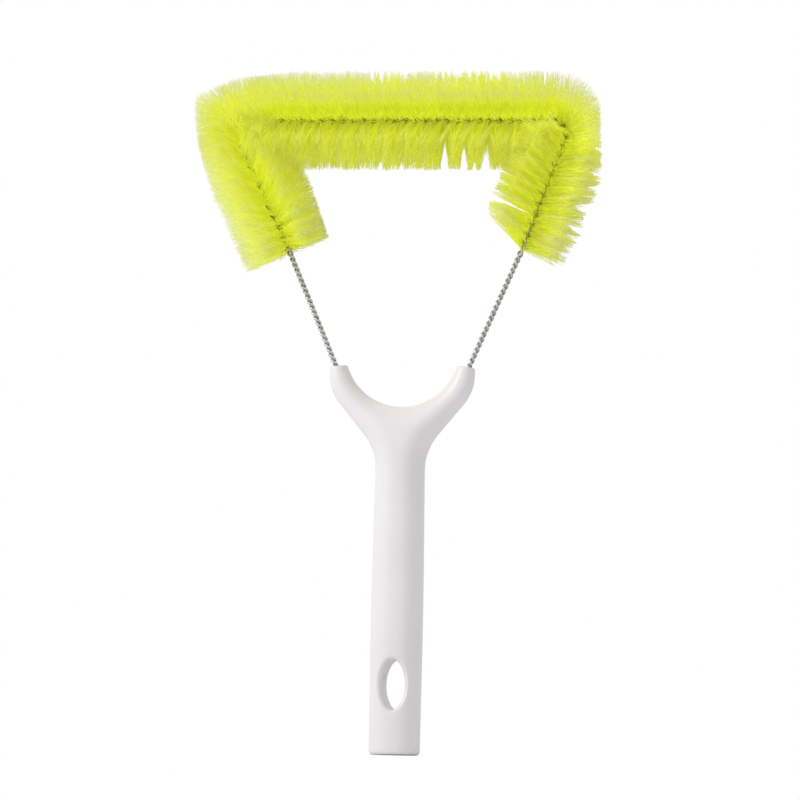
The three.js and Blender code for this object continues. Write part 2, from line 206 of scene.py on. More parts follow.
# Left leg: smooth and neatly cut, combed towards the bar but for its end.
# Pairs are behind and in front, inside and outside, or for the gleam along the leg and in the corner.
LEFT_OVERRUN = 1.8
LEFT_RAGGED = 0.15
LEFT_END = 20
LEFT_COMB = (4.0, 8.5)
LEFT_END_COMB = (-0.4, -2.9)
LEFT_CORNER_GROWS = (-4, 2)
LEFT_SOFT = (0.35, 1)
LEFT_PALE = (0.25, 1.15)
LEFT_END_PALE = 0.6
LEFT_MOST_PALE = 1.1
LEFT_LIGHT = 0.65
LEFT_GLEAM = (0.19, 0.07)
LEFT_CORNER_LENGTH = 10

# Right leg: tufted, drawn into a clump inside and frayed outside. Lengths count from the end of the bend.
# Pairs are inside and outside, or for the gather behind and in front.
RIGHT_COMB = 6
COMBED_BACK = (-6, 6)
COMBED_ON = (10, 42)
INNER_COMB = 0.3
INNER_COMB_GROWS = (8, 20)
LAST_CLUMP = 31.0
CLUMP_DRAW = 0.55
CLUMP_GROWS = (0, 3)
CLUMP_PALE = 1.5
CLUMP_LIGHT = 0.14
FRAYED = (30, 44)
FRAY_RAGGED = 2.5
RIGHT_RAGGED = (0.4, 0.8)
RIGHT_GATHER = (0.4, 0.5)
INNER_GATHER_SHARE = 0.5
RIGHT_SOFT = (0.05, 0.1)
RIGHT_PALE = (-0.6, 0.85)
RIGHT_END_PALES = (24, 40)
RIGHT_LIGHT = (0.6, 0.58)
RIGHT_CORNER_LIGHT = 0.1
RIGHT_CORNER_LENGTH = 12
RIGHT_RISE = (0.1, 0.35)

# View
VIEW_AZIMUTH = radians(10.3)
VIEW_ELEVATION = radians(-4.3)
VIEW_ROLL = radians(1.22)
VIEW_DISTANCE = 2.2
VIEW_TARGET = (-0.00064, 0, 0.1346)
PIXELS_PER_METRE = 2634
IMAGE_PIXELS = 800
CLIP_START = 0.01
to_viewer = np.array([
    sin(VIEW_AZIMUTH) * cos(VIEW_ELEVATION),
    -cos(VIEW_AZIMUTH) * cos(VIEW_ELEVATION),
    sin(VIEW_ELEVATION),
])

# Stage and lamps, in metres and watts: the world as a light and as seen, and a lamp's name, place,
# target, diameter and power
FLOOR_REACH = 4.0
FLOOR_DROP = 0.0002
FLOOR_COLOUR = (0.86, 0.86, 0.86, 1)
WHITE = (1, 1, 1, 1)
WORLD_LIGHT = (0.55, 1.0)
LAMPS = (
    ("key", (-1.5, -1.0, 1.2), (0, 0, 0.14), 0.9, 20),
    ("top", (0.1, 0.2, 1.7), (0, 0, 0.2), 0.8, 6),
    ("front", (0.6, -1.8, 0.4), (0, 0, 0.15), 0.9, 1.8),
)

# Sizes worked out from those above
leg_radius = WIRE_DIAMETER / 2 + WIRE_GAP / 2
brush_radius = WIRE_DIAMETER / 2 + PACK_CLEARANCE + PACK_THICKNESS / 2
bore_radius = leg_radius + WIRE_DIAMETER / 2 + SOCKET_CLEARANCE
tip_height = GRIP_LENGTH + FLARE_RISE + ARM_RISE
entry_x = FORK_SPAN / 2 - SOCKET_WALL - bore_radius
entry_z = tip_height + TIP_ROUND
leg_length = BARE_LEG + BRISTLED_LEG
bend_turn = pi / 2 + LEG_LEAN
bend_x = entry_x + leg_length * sin(LEG_LEAN) - BEND_RADIUS * cos(LEG_LEAN)
bend_z = entry_z + leg_length * cos(LEG_LEAN) + BEND_RADIUS * sin(LEG_LEAN)
bend_middle = bend_x + BEND_RADIUS * bend_turn / 2
bend_end = bend_x + BEND_RADIUS * bend_turn
leg_middle = bend_end + BRISTLED_LEG / 2
bristle_end = bend_end + BRISTLED_LEG
entry_end = bend_end + leg_length
wire_end = entry_end + SOCKET_DEPTH - SOCKET_CLEARANCE
bar_z = bend_z + BEND_RADIUS
bristle_z = entry_z + BARE_LEG * cos(LEG_LEAN)
brush_rate = -2 * pi / BRUSH_PITCH
leg_rate = -2 * pi / LEG_PITCH

# Trim of the head: corners of its outline as the viewer sees it, across and up from the origin
HEAD_TRIM = (
    (-77.2, 218.6), (-79.7, 226.3), (-81.5, 234.0), (-82.5, 241.7), (-82.7, 250.6), (-67.6, 257.2),
    (-42.2, 260.4), (53.0, 260.9), (64.2, 258.4), (70.7, 254.8), (73.9, 247.3), (74.6, 226.0),
)
RIGHT_TRIM = ((45.5, 192.0), (30.6, 205.7))
LEFT_TRIM = ((-39.5, 224.0), (-29.7, 196.3))
LEAST_LENGTH = 0.5

# Wedges left open between filaments, as the viewer sees them: mouth, foot and half width of the mouth
WEDGES = (
    ((30.8, 213.3), (50.2, 204.6), 1.3), ((75.4, 229.7), (69.6, 232.0), 0.7),
    ((74.4, 220.6), (69.0, 222.5), 0.7), ((69.7, 206.9), (64.3, 208.4), 0.9),
    ((67.2, 199.3), (61.0, 201.9), 1.1), ((14.7, 222.3), (14.6, 233.6), 1.4),
    ((22.2, 222.3), (22.1, 233.0), 1.1), ((30.7, 222.3), (30.6, 229.3), 1.7),
    ((26.2, 222.3), (26.2, 224.8), 0.9), ((-10.2, 222.6), (-10.3, 224.9), 1.0),
    ((-2.0, 222.6), (-2.2, 224.9), 0.8), ((-14.2, 261.0), (-14.0, 256.2), 0.9),
    ((-10.7, 261.0), (-10.6, 256.2), 0.9), ((-7.6, 261.0), (-7.5, 256.6), 0.6),
    ((-1.2, 261.0), (-1.2, 258.3), 1.5), ((10.6, 261.0), (10.7, 256.5), 0.6),
    ((13.1, 261.0), (13.2, 256.5), 0.6), ((15.5, 261.0), (15.5, 258.3), 1.2),
    ((19.3, 260.9), (19.4, 258.5), 0.8), ((23.5, 260.9), (23.5, 257.7), 1.1),
    ((26.9, 260.9), (27.0, 258.2), 0.5), ((31.8, 260.9), (31.9, 256.3), 0.9),
    ((34.8, 260.9), (34.9, 256.3), 0.7), ((41.7, 260.9), (41.8, 258.2), 0.9),
    ((52.6, 260.9), (52.8, 251.5), 0.5), ((54.2, 260.9), (54.3, 256.1), 0.4),
)
WEDGE_SAMPLES = (0.25, 0.5, 0.75, 1)
WEDGE_OVERSHOOT = 0.2
CUT_SHARES = (0.85, 0.8, 0.75, 0.7, 0.65)

# How far filaments in front turn aside from the wires: length along the loop, share of OPENING
OPENED = (
    (-bristle_end, 0.9),
    (-bend_end - 8, 0.8),
    (-bend_end, 0),
    (-bend_x + 1, 0),
    (-bend_x + 12, 1),
    (bend_end, 1.2),
    (bend_end + 14, 1.8),
    (bristle_end, 2.5),
)

# Partings in the filaments: length along the loop, angle round it, half width, height of the foot
BELOW = pi
OUTSIDE = 0.0
INSIDE = pi
PARTINGS = (
    (14.95 + BAR_OFFSET, BELOW, 1.5, 6.5),
    (22.3 + BAR_OFFSET, BELOW, 1.2, 6.5),
    (30.75 + BAR_OFFSET, BELOW, 2.0, 8.5),
    (bend_x - 0.4, OUTSIDE, 0.6, 12.0),
    (bend_end - 2.2, OUTSIDE, 0.7, 13.0),
    (bend_end + 0.4, OUTSIDE, 0.8, 12.0),
    (bend_end + 5.9, OUTSIDE, 0.9, 13.0),
    (bend_end + 12.6, OUTSIDE, 0.8, 13.5),
    (bend_end + 21.0, OUTSIDE, 2.0, 12.0),
    (bend_end + 28.0, OUTSIDE, 2.0, 11.5),
    (bend_end + 34.0, OUTSIDE, 1.0, 12.0),
    (bend_end + 30.0, INSIDE, 0.7, 4.0),
)
PARTING_REACH = 3.5
PARTING_EDGE = 0.5

# Colours, as stops of a ramp: place and linear colour
PLASTIC_TINTS = (
    (0.3, (0.795, 0.765, 0.777)),
    (0.7, (0.83, 0.805, 0.817)),
)
PLASTIC_ROUGHNESS = (0.34, 0.5)
STEEL_TINTS = (
    (0.3, (0.41, 0.4, 0.395)),
    (0.62, (0.54, 0.53, 0.525)),
)
STEEL_ROUGHNESS = (0.3, 0.5)
# Painted reflection and shade: among the filaments the steel's colour turns dark lime, for the lime it
# would reflect and the shade it lies in
PAINTED_LIME_REFLECTION_AND_SHADE = (0.36, 0.40, 0.06, 1)
LIME_FADE = 22
DULLED_AMONG = 0.3
# Its first stops, dark at the roots, are painted shade among the wires
FILAMENT_COLOURS = (
    (0.028, (0.30, 0.36, 0.008)),
    (0.06, (0.68, 0.74, 0.018)),
    (0.09, (0.80, 0.85, 0.04)),
    (0.28, (0.81, 0.85, 0.045)),
    (0.34, (0.80, 0.85, 0.012)),
    (0.42, (0.81, 0.85, 0.05)),
    (0.72, (0.82, 0.85, 0.10)),
    (0.98, (0.84, 0.86, 0.42)),
)
# Painted light: the filaments' emission stands in for light passing through and among them, brightest just
# off the roots
FILAMENT_GLOW = (
    (0.028, (0.17, 0.20, 0.004)),
    (0.07, (0.99, 1.0, 0.11)),
    (0.26, (0.76, 0.80, 0.08)),
    (0.42, (0.48, 0.50, 0.03)),
    (0.74, (0.56, 0.58, 0.06)),
    (0.98, (0.37, 0.38, 0.16)),
)
# Range of levels for the filaments' painted light and shade, with some random tone
FILAMENT_SHADE_LEVELS = (0.7, 1.1)
FILAMENT_ROUGHNESS = (0.4, 0.6)
GLOW_STRENGTH = 0.6
THROUGH_SHARE = 0.5
SHADOW_CLEARNESS = 0.9
SHADOW_TINT = (0.96, 0.98, 0.8, 1)


def smoothstep(x, low, high):
    t = np.clip((np.asarray(x, float) - low) / (high - low), 0, 1)
    return t * t * (3 - 2 * t)


def lerp(a, b, t):
    return a + (b - a) * t


def wrapped(angle):
    """The same angle from -pi to pi."""
    return (angle + pi) % (2 * pi) - pi


def unit(vectors):
    return vectors / np.linalg.norm(vectors, axis=-1, keepdims=True)


# Meshes

def link_object(name, data):
    thing = bpy.data.objects.new(name, data)
    scene.collection.objects.link(thing)
    return thing


def make_object(name, points, faces, uvs=None):
    """A mesh object from points in millimetres and faces of equal corner count."""
    points = np.asarray(points, np.float32) * MM
    faces = np.asarray(faces, np.int32)
    mesh = bpy.data.meshes.new(name)
    mesh.vertices.add(len(points))
    mesh.vertices.foreach_set("co", points.ravel())
    count, corners = faces.shape
    mesh.loops.add(count * corners)
    mesh.loops.foreach_set("vertex_index", faces.ravel())
    mesh.polygons.add(count)
    mesh.polygons.foreach_set("loop_start", np.arange(0, count * corners, corners, dtype=np.int32))
    if uvs is not None:
        layer = mesh.uv_layers.new(name="OFBake")
        layer.data.foreach_set("uv", np.asarray(uvs, np.float32).ravel())
    mesh.update(calc_edges=True)
    mesh.validate()
    mesh.shade_smooth()
    return link_object(name, mesh)


def tube_faces(rings, sides):
    """Four-cornered faces between neighbouring rings of points."""
    i = np.arange(rings - 1)[:, None]
    k = np.arange(sides)[None, :]
    n = (k + 1) % sides
    corners = (i * sides + k, i * sides + n, (i + 1) * sides + n, (i + 1) * sides + k)
    return np.stack(np.broadcast_arrays(*corners), -1).reshape(-1, 4)


def closed(thing, weld=False):
    """An object with its open rims filled and its faces turned outwards, first welded if asked."""
    mesh = bmesh.new()
    mesh.from_mesh(thing.data)
    if weld:
        bmesh.ops.remove_doubles(mesh, verts=mesh.verts[:], dist=WELD)
        bmesh.ops.dissolve_degenerate(mesh, edges=mesh.edges[:], dist=SLIVER)
    rims = [edge for edge in mesh.edges if edge.is_boundary]
    bmesh.ops.holes_fill(mesh, edges=rims, sides=0)
    bmesh.ops.recalc_face_normals(mesh, faces=mesh.faces[:])
    mesh.to_mesh(thing.data)
    mesh.free()
    return thing


def round_rings(centre, first, second, radius, sides):
    """A ring of points round each centre, in the plane of two directions."""
    turn = 2 * pi * np.arange(sides) / sides
    ring = first[:, None] * np.cos(turn)[:, None] + second[:, None] * np.sin(turn)[:, None]
    return centre[:, None] + ring * radius


def ring_solid(name, rings):
    """A closed tube through rings of points."""
    return closed(make_object(name, np.concatenate(rings), tube_faces(len(rings), len(rings[0]))))


# Wire loop

def loop_frame(s):
    """Place, direction and two normals, outwards and sideways, at length s from the middle of the bar."""
    s = np.asarray(s, float)
    side = np.where(s < 0, -1.0, 1.0)
    length = np.abs(s)
    turn = np.clip((length - bend_x) / BEND_RADIUS, 0, bend_turn)
    zero = np.zeros_like(s)
    along = np.stack([np.cos(turn), zero, -side * np.sin(turn)], -1)
    outward = np.stack([side * np.sin(turn), zero, np.cos(turn)], -1)
    place = np.stack([side * np.minimum(length, bend_x), zero, zero + bend_z], -1)
    place = place + outward * BEND_RADIUS + along * (side * np.maximum(length - bend_end, 0))[..., None]
    place[..., 0] -= BAR_OFFSET * np.clip((place[..., 2] - bristle_z) / (bar_z - bristle_z), 0, 1)
    return place, along, outward, np.cross(along, outward)


def in_bend(s):
    return ((np.abs(s) > bend_x) & (np.abs(s) < bend_end)).astype(float)


def bare_share(s):
    return np.clip((np.abs(s) - bristle_end) / PITCH_CHANGE, 0, 1)


def twist(s):
    """Angle of the first wire round the loop. The lay tightens past the bristles."""
    past = np.maximum(np.abs(s) - bristle_end, 0)
    share = bare_share(s)
    gained = (leg_rate - brush_rate) * (past - PITCH_CHANGE * share / 2) * share
    return s * brush_rate + np.sign(s) * gained


def across(outward, sideways, angle):
    return outward * np.cos(angle)[..., None] + sideways * np.sin(angle)[..., None]


def wire_strand(name, phase, steps_per_turn=22, sides=12):
    """One wire of the pair, from the bottom of one socket round the loop to the other."""
    lengths = [-wire_end]
    while lengths[-1] < wire_end:
        rate = abs(lerp(brush_rate, leg_rate, float(bare_share(lengths[-1]))))
        lengths.append(min(lengths[-1] + 2 * pi / steps_per_turn / rate, wire_end))
    s = np.array(lengths)
    place, along, outward, sideways = loop_frame(s)
    from_core = across(outward, sideways, twist(s) + phase)
    spread = lerp(brush_radius, leg_radius, bare_share(s))
    centre = place + from_core * spread[:, None]
    heading = unit(np.gradient(centre, s, axis=0))
    first = unit(from_core - heading * np.sum(from_core * heading, axis=1)[:, None])
    return ring_solid(name, round_rings(centre, first, np.cross(heading, first), WIRE_DIAMETER / 2, sides))


# Filaments

def noise_field(rng, low, high, cell, sectors):
    """Smooth random values from -1 to 1 over length along the loop and angle round it."""
    count = ceil((high - low) / cell) + 2
    grid = rng.uniform(-1, 1, (count, sectors))

    def value(s, angle):
        x = np.clip((s - low) / cell, 0, count - 1.001)
        y = (angle / (2 * pi) * sectors) % sectors
        i, j = x.astype(int), y.astype(int)
        u, v = smoothstep(x - i, 0, 1), smoothstep(y - j, 0, 1)
        k = (j + 1) % sectors
        return lerp(lerp(grid[i, j], grid[i, k], v), lerp(grid[i + 1, j], grid[i + 1, k], v), u)

    return value


def filament_roots(rng, low, high, crowding):
    """Lengths along the loop and angles round it, denser outside the bends, thinner at the right end."""
    most = 1 + BEND_CROWDING
    s = rng.uniform(low, high, int((high - low) * FILAMENTS_PER_MM * crowding * most))
    angle = twist(s) + pi / 2 + rng.integers(0, 2, len(s)) * pi
    in_bends = np.clip(1 + BEND_CROWDING * np.cos(angle), LEAST_CROWDING, None)
    weight = np.where(in_bend(s) > 0, in_bends, 1.0)
    weight = weight * lerp(1, THIN_SHARE, smoothstep(s, bristle_end - THIN_END, bristle_end))
    keep = rng.uniform(0, most, len(s)) < weight
    return s[keep], angle[keep]


def trimmed(length, place, way, trim):
    """What a trim of the head leaves of the filaments' length. The cuts lie in the line of sight."""
    for (x, z), (next_x, next_z) in zip(trim, trim[1:]):
        cut = np.array([z - next_z, 0, next_x - x])
        cut[1] = -(cut @ to_viewer) / to_viewer[1]
        room = np.maximum(cut[0] * x + cut[2] * z - place @ cut, LEAST_LENGTH)
        approach = way @ cut
        left = np.minimum(length, room / np.maximum(approach, TINY))
        length = np.where(approach > 0, left, length)
    return length


def cut_back(values, share):
    """Values at each ring of filaments, moved back to a share of their length."""
    steps = np.array(FILAMENT_STEPS)
    back = steps * share
    ring = np.minimum(np.searchsorted(steps, back, side="right") - 1, len(steps) - 2)
    part = (back - steps[ring]) / (steps[ring + 1] - steps[ring])
    part = part.reshape((1, -1) + (1,) * (values.ndim - 2))
    return lerp(values[:, ring], values[:, ring + 1], part)


def crosses_wedge(points):
    """Whether any place along each filament lies in a wedge, as the viewer sees it."""
    rings = points.mean(2)
    places = np.concatenate([lerp(rings[:, :-1], rings[:, 1:], part) for part in WEDGE_SAMPLES], 1)
    flat = (places - to_viewer * (places[..., 1:2] / to_viewer[1]))[..., [0, 2]]
    crossed = np.zeros(len(points), bool)
    for mouth, foot, half_width in WEDGES:
        axis = np.array(foot) - np.array(mouth)
        length = np.linalg.norm(axis)
        axis /= length
        away = flat - np.array(mouth)
        share = (away @ axis) / length
        beside = np.abs(away[..., 0] * axis[1] - away[..., 1] * axis[0])
        crossed |= ((share > -WEDGE_OVERSHOOT) & (beside < half_width * (1 - share))).any(1)
    return crossed


def parted(seen, heading):
    """How far the tips move along the loop to leave the partings open, and the height where that starts."""
    move = np.zeros_like(seen)
    start = np.full_like(seen, BRUSH_RADIUS)
    for place, side, half_width, height in PARTINGS:
        facing = smoothstep(np.cos(heading - side), 0.0, PARTING_EDGE)
        away = seen - place
        reach = PARTING_REACH * half_width
        near = np.abs(away) < reach
        push = np.sign(away) * half_width * (1 - np.abs(away) / reach) * facing
        move = np.where(near, push, move)
        start = np.where(near, height, start)
    return move, start


def opened(s, heading, facing):
    """Headings turned away from the viewer, so that the twisted wires stay in sight."""
    off = wrapped(heading - facing)
    lengths, shares = zip(*OPENED)
    most = OPENING * np.interp(s, lengths, shares)
    return heading + np.sign(off) * most * np.exp(-(off / OPENING_WIDTH) ** 2)


def stripes(turns, waves):
    """Sum of a wave of one pitch and a wave of half a pitch along the loop."""
    (whole, whole_crest), (half, half_crest) = waves
    wave = whole * np.cos(2 * pi * (turns - whole_crest))
    return wave + half * np.cos(4 * pi * (turns - half_crest))


# Tufts stand midway between the palest stripes.
tuft_rng = np.random.default_rng(TUFT_SEED)
tuft_count = int(bristle_end / TUFT_SPACING) + SPARE_TUFTS
first_tuft = FIRST_PARTING + PALE_STRIPES[1][1] * BRUSH_PITCH + TUFT_SPACING / 2
tuft_places = first_tuft + TUFT_SPACING * np.arange(-tuft_count, tuft_count)
tuft_places += tuft_rng.uniform(-TUFT_JITTER, TUFT_JITTER, len(tuft_places)) * TUFT_SPACING
tuft_edges = (tuft_places[1:] + tuft_places[:-1]) / 2
tuft_pull = tuft_rng.uniform(LEAST_PULL, 1, len(tuft_places))
tuft_growth = tuft_rng.normal(0, TUFT_GROWTH, len(tuft_places))


def lay_filaments(rng, region, span, overrun):
    """Filaments of one stretch, which leave the wires along the ribbon and fan out to a round brush.
    seen is where along the loop the viewer sees a tip: tufts, partings and notches go by it."""
    low, high = span
    s, angle = filament_roots(rng, low, high, region.crowding)
    count = len(s)
    place, along, outward, sideways = loop_frame(s)
    facing = np.arctan2(sideways @ to_viewer, outward @ to_viewer)
    swing = rng.normal(0, SWING, count) * lerp(1, SIDE_SWING, np.abs(np.sin(angle)))
    heading = opened(s, angle + swing, facing)
    look = region.style(s, heading)
    spread = np.clip(1 + in_bend(s) * BRUSH_RADIUS / BEND_RADIUS * np.cos(heading), LEAST_FAN, None)
    fan = rng.uniform(-1, 1, count) * FAN * spread
    wander = noise_field(rng, low, high, *WANDER_CELLS)(s, heading)
    lock = noise_field(rng, low, high, *LOCK_CELLS)(s, heading)
    lean = fan + WANDER * wander * look.gather + LOCK * lock + look.comb
    depth = (along @ to_viewer) / (sideways @ to_viewer) * BRUSH_RADIUS * np.sin(heading)
    seen = np.clip(s + lean - depth, low - overrun[0], high + overrun[1])
    tilt = np.clip((seen + depth - s) / BRUSH_RADIUS, -MOST_TILT, MOST_TILT)
    tuft = np.searchsorted(tuft_edges, seen)
    draw = (tuft_places[tuft] - seen) * tuft_pull[tuft] * look.gather
    turns = (lerp(seen, s, STRIPE_ROOT) - FIRST_PARTING) / BRUSH_PITCH
    seen = seen + draw
    move, parting_height = parted(seen, heading)
    notches = noise_field(rng, low - FIELD_MARGIN, high + FIELD_MARGIN, NOTCH_LENGTH, 1)
    notch = smoothstep(notches(seen, heading), 0.0, NOTCH_EDGE)
    bow = rng.normal(0, BOW, (count, 2))
    shift = np.clip(rng.normal(0, ROOT_SHIFT, count), low - s, high - s)
    place = place + along * shift[:, None]
    way = across(outward, sideways, heading) * np.cos(tilt)[:, None] + along * np.sin(tilt)[:, None]
    length = look.reach - look.ragged * notch + look.gather * tuft_growth[tuft]
    for trim in region.trims:
        length = trimmed(length, place, way, trim)
    length = length + rng.normal(0, LENGTH_SPREAD, count)
    shortness = np.abs(rng.normal(0, SHORT_SPREAD, count)) * (rng.uniform(0, 1, count) < SHORT_SHARE)
    length -= shortness * lerp(*SHORTNESS, look.soft)
    return SimpleNamespace(
        s=s, angle=angle, swing=heading - angle, heading=heading, facing=facing, look=look,
        place=place, along=along, outward=outward, sideways=sideways,
        seen=seen, turns=turns, tilt=tilt, draw=draw, bow=bow, length=length,
        move=move, parting_height=parting_height, phase=rng.uniform(0, 2 * pi, count),
    )


def filament_points(pack):
    """Points of the filaments' rings, by filament, ring and side."""
    points = np.zeros((len(pack.s), len(FILAMENT_STEPS), FILAMENT_SIDES, 3))
    free_height = BRUSH_RADIUS - pack.parting_height + TINY
    for i, t in enumerate(FILAMENT_STEPS):
        radius = FILAMENT_RADIUS * lerp(FILAMENT_GIRTH[i], SOFT_GIRTH[i], pack.look.soft)
        eased = 1 - (1 - t) ** 2
        arch = sin(pi * t)
        turned = pack.angle + pack.swing * lerp(ROOT_SWING, 1, eased)
        out = across(pack.outward, pack.sideways, turned)
        cross = across(pack.outward, pack.sideways, turned + pi / 2)
        run = lerp(FILAMENT_ROOT, pack.length, t)
        bend = pack.tilt * lerp(ROOT_TILT, 1, eased)
        aside = pack.move * np.clip((run - pack.parting_height) / free_height, 0, 1)
        drift = run * np.sin(bend) + pack.bow[:, 0] * arch + SWEEP * (1 - t) ** 2
        drift += aside + pack.draw * t ** DRAW_POWER
        centre = pack.place + out * (run * np.cos(bend))[:, None] + pack.along * drift[:, None]
        centre += cross * (pack.bow[:, 1] * arch)[:, None]
        for k in range(FILAMENT_SIDES):
            turn = pack.phase + 2 * pi * k / FILAMENT_SIDES
            offset = pack.along * np.cos(turn)[:, None] + cross * np.sin(turn)[:, None]
            points[:, i, k] = centre + offset * radius[:, None]
    return points


def washed_out(s, heading):
    """How far down the filaments their tips' pale colour reaches."""
    outside = smoothstep(np.cos(heading), 0.2, 0.8)
    leg_end = smoothstep(np.abs(s) - bristle_end, *WASHED_GROWS)
    at_end = np.where(s < 0, WASHED_LEFT_END, WASHED_RIGHT_END) * leg_end
    washed = np.maximum(in_bend(s), WASHED_LEFT * (s < -bend_end) + at_end)
    return np.maximum(outside, WASHED_INSIDE * leg_end) * washed


def filament_colours(rng, span, pack):
    """Shade and grade of the filaments, by filament and ring."""
    look = pack.look
    hard = 1 - look.soft
    count = len(pack.s)
    low, high = span[0] - FIELD_MARGIN, span[1] + FIELD_MARGIN
    streak = noise_field(rng, low, high, *STREAK_CELLS)(pack.seen, pack.heading)
    washed = washed_out(pack.s, pack.heading)
    in_front = np.exp(-(wrapped(pack.heading - pack.facing) / FRONT_WIDTH) ** 2)
    light = look.light + STREAK_LIGHT * streak * hard - WASHED_LIGHT * washed
    light_spread = lerp(*LIGHT_SPREAD, look.soft) + FRONT_LIGHT_SPREAD * in_front
    light += rng.normal(0, 1, count) * light_spread
    light += hard * stripes(pack.turns, LIGHT_STRIPES)
    shade = np.clip(light[:, None] + look.rise[:, None] * np.array(SHADE_RISE), *SHADE_LIMITS)
    steps = np.array(FILAMENT_STEPS)
    grade = lerp(steps, steps ** WASHED_POWER, washed[:, None])
    grade = lerp(lerp(HARD_GRADE, 0, look.soft)[:, None], lerp(*TIP_GRADES, look.pale)[:, None], grade)
    # Painted light and shade in bands across the tufts, on the grade
    paler = stripes(pack.turns, PALE_STRIPES) * hard
    grade += (np.where(paler > 0, PALER_STEP, DEEPER_STEP) * paler)[:, None]
    grade = np.minimum(grade, lerp(*MOST_GRADES, look.pale)[:, None])
    # Painted shade at the roots among the wires, reaching further out on the flecks
    grade[:, 0] = rng.uniform(*ROOT_GRADES, count)
    fleck = rng.uniform(0, 1, count) < FLECK_SHARE * (1 + FRONT_FLECKS * in_front)
    grade[:, 1] = np.where(fleck, FLECK_GRADE, grade[:, 1])
    return shade, np.clip(grade, *GRADE_LIMITS)


def filaments(name, region, span, overrun, seed):
    """A piece of filaments with their ribbon. Those that cross a wedge are cut back to it."""
    rng = np.random.default_rng(seed)
    pack = lay_filaments(rng, region, span, overrun)
    points = filament_points(pack)
    shade, grade = filament_colours(rng, span, pack)
    for share in CUT_SHARES:
        crossed = np.flatnonzero(crosses_wedge(points))
        for values in (points, shade, grade):
            values[crossed] = cut_back(values[crossed], share)
    keep = ~crosses_wedge(points)
    return filament_mesh(name, points[keep], shade[keep], grade[keep], ribbon(*span))


def ribbon(low, high, step=0.25):
    """Points and triangles of the flat middle of the filament pack, which twists between the wires."""
    s = np.linspace(low, high, int((high - low) / step) + 2)
    place, along, outward, sideways = loop_frame(s)
    thick = across(outward, sideways, twist(s)) * PACK_THICKNESS / 2
    flat = across(outward, sideways, twist(s) + pi / 2) * RIBBON_REACH
    corners = (place + thick + flat, place - thick + flat, place - thick - flat, place + thick - flat)
    last = 4 * (len(s) - 1)
    caps = np.array([[0, 3, 2, 1], [last, last + 1, last + 2, last + 3]])
    quads = np.concatenate([tube_faces(len(s), 4), caps])
    return np.stack(corners, 1).reshape(-1, 3), np.concatenate([quads[:, [0, 1, 2]], quads[:, [0, 2, 3]]])


def filament_mesh(name, points, shade, grade, strip):
    """One mesh of closed tubes and the ribbon's strip. A ring's u is its shade, and its v is its grade."""
    count, rings, sides = points.shape[:3]
    walls = tube_faces(rings, sides)
    last = (rings - 1) * sides
    caps = np.array([[0, 2, 1], [last, last + 1, last + 2]])
    pattern = np.concatenate([walls[:, [0, 1, 2]], walls[:, [0, 2, 3]], caps])[:, ::-1]
    base = (np.arange(count) * rings * sides)[:, None, None]
    faces = (pattern[None] + base).reshape(-1, 3)
    side_u = np.tile(np.arange(sides) / sides, rings) * STRIP_WIDTH
    uv = np.zeros((count, rings * sides, 2))
    uv[:, :, 0] = np.repeat(shade, sides, axis=1) + side_u[None]
    uv[:, :, 1] = np.repeat(grade, sides, axis=1)
    corner_uv = uv[:, pattern.ravel()].reshape(-1, 2)
    strip_points, strip_faces = strip
    # The ribbon's low shade and grade are painted shade deep in the core
    strip_uv = np.full((strip_faces.size, 2), RIBBON_GRADE)
    points = np.concatenate([points.reshape(-1, 3), strip_points])
    faces = np.concatenate([faces, strip_faces + count * rings * sides])
    return make_object(name, points, faces, np.concatenate([corner_uv, strip_uv]))


# Styles of the filaments: gather into tufts, comb along the loop, reach, depth of the notches between ends,
# softness, paleness of the tips, light and its rise towards the tips. cos(heading) is 1 above and outside.
Style = namedtuple("Style", "gather comb reach ragged soft pale light rise")


def bar_style(s, heading):
    above = np.cos(heading)
    below = smoothstep(-above, -0.1, 0.6)
    front = smoothstep(np.sin(heading), -0.3, 0.5)
    on_top = smoothstep(above, 0.4, 0.8)
    low_front = smoothstep(np.sin(heading), 0.4, 0.9) * smoothstep(-above, -0.1, 0.1)
    in_run = sum((s > start) & (s < end) for start, end in RAGGED_RUNS) * on_top
    left_corner = smoothstep(-s, bend_x - CORNER_LENGTH, bend_x) * on_top
    to_right = lerp(LEFT_GATHER_SHARE, 1, smoothstep(s, *GATHER_GROWS))
    soft = smoothstep(above, -0.1, 0.5) * (1 - RUN_HARDNESS * in_run)
    shade = LOW_FRONT_SHADE * low_front * smoothstep(s, *LOW_FRONT_GROWS)
    return Style(
        gather=SMOOTH_GATHER + below * lerp(*BAR_GATHER, front) * to_right,
        comb=np.zeros_like(s),
        reach=BRUSH_RADIUS + BAR_GROWTH + CORNER_GROWTH * left_corner,
        ragged=lerp(*BAR_RAGGED, in_run),
        soft=soft,
        pale=soft,
        light=lerp(*BAR_LIGHT, soft) - shade,
        rise=lerp(*BAR_RISE, soft),
    )


